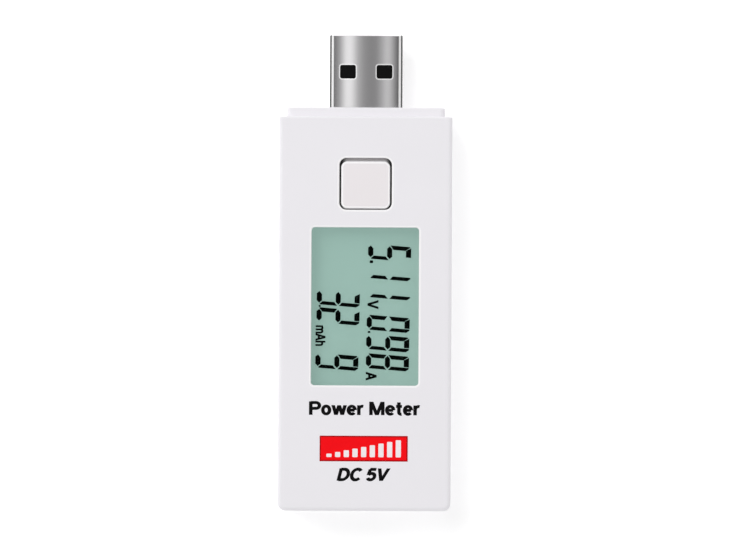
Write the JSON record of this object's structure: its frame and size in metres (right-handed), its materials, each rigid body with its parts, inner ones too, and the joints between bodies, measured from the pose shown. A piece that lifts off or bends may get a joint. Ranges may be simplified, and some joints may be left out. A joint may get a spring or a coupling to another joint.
{
  "type": "usb power meter",
  "caption": "Plug-in power meter: slim white casing in two halves, steel plug at one end, socket at the other, a square push button and a windowed liquid crystal display.",
  "frame": {"origin": "on the back face's plane, under the middle of the whole length and width", "axes": "+Y along the meter towards the plug's tip, +X across it, +Z from the back face to the display"},
  "size_m": [0.0284, 0.0782, 0.014],
  "materials": {
    "casing_front": "satin white moulded plastic",
    "casing_back": "satin white moulded plastic",
    "button": "satin white moulded plastic",
    "window": "clear moulded plastic, polished",
    "seal": "cured epoxy bead",
    "tape": "black adhesive tape",
    "panel_glass": "thin float glass",
    "front_film": "polarizing film",
    "rear_film": "reflective polarizing film, grey-green",
    "strip_rubber": "silicone rubber with fine conductive stripes",
    "board": "green solder mask over glass-fibre laminate",
    "screws": "zinc-plated steel",
    "plug_steel": "nickel-plated folded steel sheet",
    "socket_steel": "nickel-plated folded steel sheet",
    "plug_plastic": "black moulded insulator",
    "socket_plastic": "black moulded insulator",
    "contacts": "gold-plated brass strip",
    "switch_plastic": "black moulded plastic",
    "switch_steel": "thin stainless steel",
    "solder_legs": "tinned copper alloy",
    "chip_plastic": "black epoxy moulding",
    "shunt": "coated metal resistor with tinned ends",
    "crystal_can": "nickel-plated can",
    "capacitors": "ceramic with tinned ends",
    "resistors": "black glazed ceramic with tinned ends"
  },
  "bodies": {
    "meter": {"front_cover": "casing_front", "back_cover": "casing_back", "display_window": "window", "lcd_seal": "seal", "display_tape": "tape", "lcd_front_glass": "panel_glass", "lcd_rear_glass": "panel_glass", "lcd_front_polarizer": "front_film", "lcd_rear_polarizer": "rear_film", "connector_strips": "strip_rubber", "main_board": "board", "board_screws": "screws", "plug_shell": "plug_steel", "socket_shell": "socket_steel", "plug_insulator": "plug_plastic", "socket_insulator": "socket_plastic", "plug_contacts": "contacts", "socket_contacts": "contacts", "switch_body": "switch_plastic", "switch_cover": "switch_steel", "switch_dome": "switch_steel", "switch_terminals": "solder_legs", "microcontroller_leads": "solder_legs", "memory_chip_leads": "solder_legs", "amplifier_chip_leads": "solder_legs", "voltage_regulator_leads": "solder_legs", "microcontroller": "chip_plastic", "memory_chip": "chip_plastic", "amplifier_chip": "chip_plastic", "voltage_regulator": "chip_plastic", "current_shunt": "shunt", "crystal": "crystal_can", "chip_capacitors": "capacitors", "chip_resistors": "resistors"},
    "button": {"button_cap": "button", "switch_plunger": "switch_plastic"}
  },
  "joints": [
    {"name": "button_press", "type": "slide", "parent": "meter", "child": "button", "axis": [0, 0, -1], "range_m": [0, 0.00025], "stiffness_N_per_m": 6000, "deforming": ["switch_dome"]}
  ]
}
